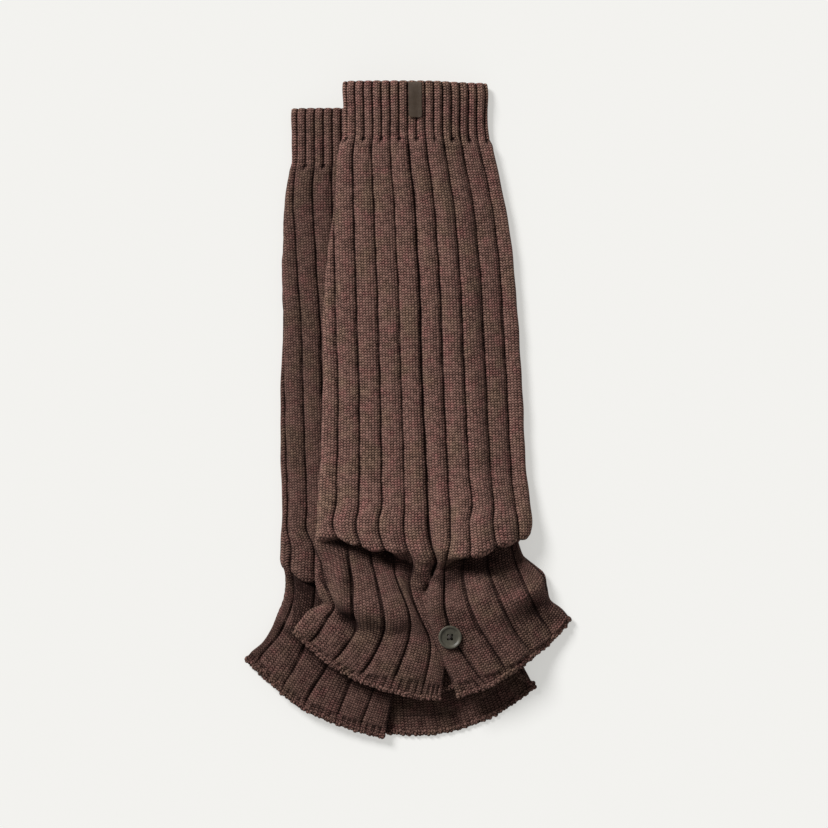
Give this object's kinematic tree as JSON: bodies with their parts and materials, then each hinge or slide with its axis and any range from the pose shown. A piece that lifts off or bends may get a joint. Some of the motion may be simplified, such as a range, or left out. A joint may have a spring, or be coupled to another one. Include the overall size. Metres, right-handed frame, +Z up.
{
  "type": "pair of leg warmers",
  "caption": "Pair of wide-rib knitted leg warmers laid flat, one on the other, with short ribbed cuffs, a slouch fold, flared feet, a buttoned placket and a slit hem.",
  "frame": {"origin": "centre of the pair's footprint, on the surface it lies on", "axes": "+Y from the flared hems towards the cuffs, +X to the right seen from above, +Z up out of the surface"},
  "size_m": [0.236, 0.4727, 0.0313],
  "materials": {
    "upper_cuff_knit": "fine rib knit, matte",
    "upper_leg_knit": "wide rib knit, matte",
    "upper_flare_knit": "wide rib knit, matte",
    "upper_hem_knit": "fine rib knit with a bound edge, matte",
    "upper_button_plastic": "satin moulded plastic",
    "upper_label_satin": "bare satin label",
    "lower_cuff_knit": "fine rib knit, matte",
    "lower_leg_knit": "wide rib knit, matte",
    "lower_flare_knit": "wide rib knit, matte",
    "lower_hem_knit": "fine rib knit with a bound edge, matte",
    "lower_button_plastic": "satin moulded plastic"
  },
  "bodies": {
    "root": {"upper_cuff": "upper_cuff_knit", "upper_leg": "upper_leg_knit", "upper_flare": "upper_flare_knit", "upper_hem_band": "upper_hem_knit", "upper_button": "upper_button_plastic", "upper_label": "upper_label_satin", "lower_cuff": "lower_cuff_knit", "lower_leg": "lower_leg_knit", "lower_flare": "lower_flare_knit", "lower_hem_band": "lower_hem_knit", "lower_button": "lower_button_plastic"}
  },
  "joints": []
}
